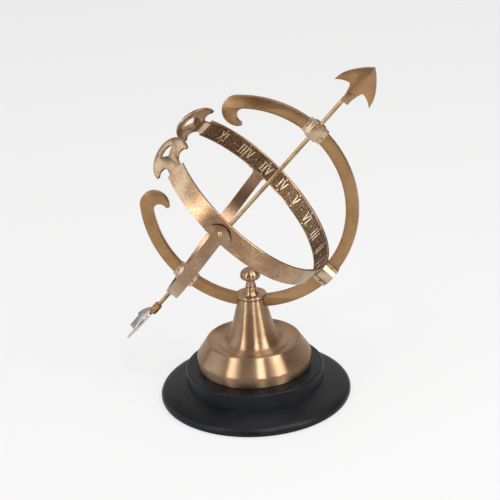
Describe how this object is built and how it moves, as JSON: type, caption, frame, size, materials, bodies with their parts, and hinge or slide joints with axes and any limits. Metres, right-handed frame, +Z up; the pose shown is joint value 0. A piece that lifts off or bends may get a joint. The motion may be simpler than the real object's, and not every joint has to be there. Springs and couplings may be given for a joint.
{
  "type": "armillary sphere",
  "caption": "Desk armillary sphere: wood base, brass stand, open latitude ring sliding in a clamped slot, hour band with numerals, cross strap and turning arrow rod.",
  "frame": {"origin": "centre of the underside of the base", "axes": "+Z up; the latitude ring lies in the XZ plane and the arrow rises towards +X; the numerals' side of the band is seen from -Y"},
  "size_m": [0.2053, 0.1616, 0.2694],
  "materials": {
    "black_wood": "satin black lacquer on turned hardwood",
    "felt": "glued felt",
    "antique_brass": "burnished antique brass",
    "cast_brass": "cast brass, filed and patinated",
    "dark_brass": "dark patinated brass",
    "rod_brass": "drawn brass rod, worn",
    "bright_brass": "bright turned brass",
    "steel": "zinc plated steel"
  },
  "bodies": {
    "stand": {"wood_base": "black_wood", "felt_pad": "felt", "foot_shell": "antique_brass", "bell_column": "antique_brass", "neck_cap": "antique_brass", "cap_pins": "steel", "tie_bolt": "steel", "tie_washer": "steel"},
    "clamp": {"clamp_knob": "antique_brass", "clamp_stud": "steel"},
    "sphere": {"meridian_ring": "antique_brass", "north_saddle": "cast_brass", "south_saddle": "cast_brass", "equator_saddle": "cast_brass", "saddle_pins": "bright_brass", "equator_band": "antique_brass", "band_rivet": "bright_brass", "hour_strap": "antique_brass", "strap_screws": "bright_brass"},
    "gnomon": {"gnomon_rod": "rod_brass", "arrowhead": "cast_brass", "tail_ferrule": "cast_brass", "tail_fletching": "cast_brass", "thrust_collar": "dark_brass", "pole_nut": "steel"}
  },
  "joints": [
    {"name": "ring_tilt", "type": "hinge", "parent": "stand", "child": "sphere", "pos_m": [0.0009, 0, 0.1611], "axis": [0, 1, 0], "range_deg": [-10, 28]},
    {"name": "knob_turn", "type": "hinge", "parent": "stand", "child": "clamp", "pos_m": [0, 0, 0.095], "axis": [0, 0, 1], "range_deg": [0, 360]},
    {"name": "gnomon_turn", "type": "hinge", "parent": "sphere", "child": "gnomon", "pos_m": [0.00191, 0, 0.16021], "axis": [0.6609, 0, 0.7505], "continuous": true}
  ]
}
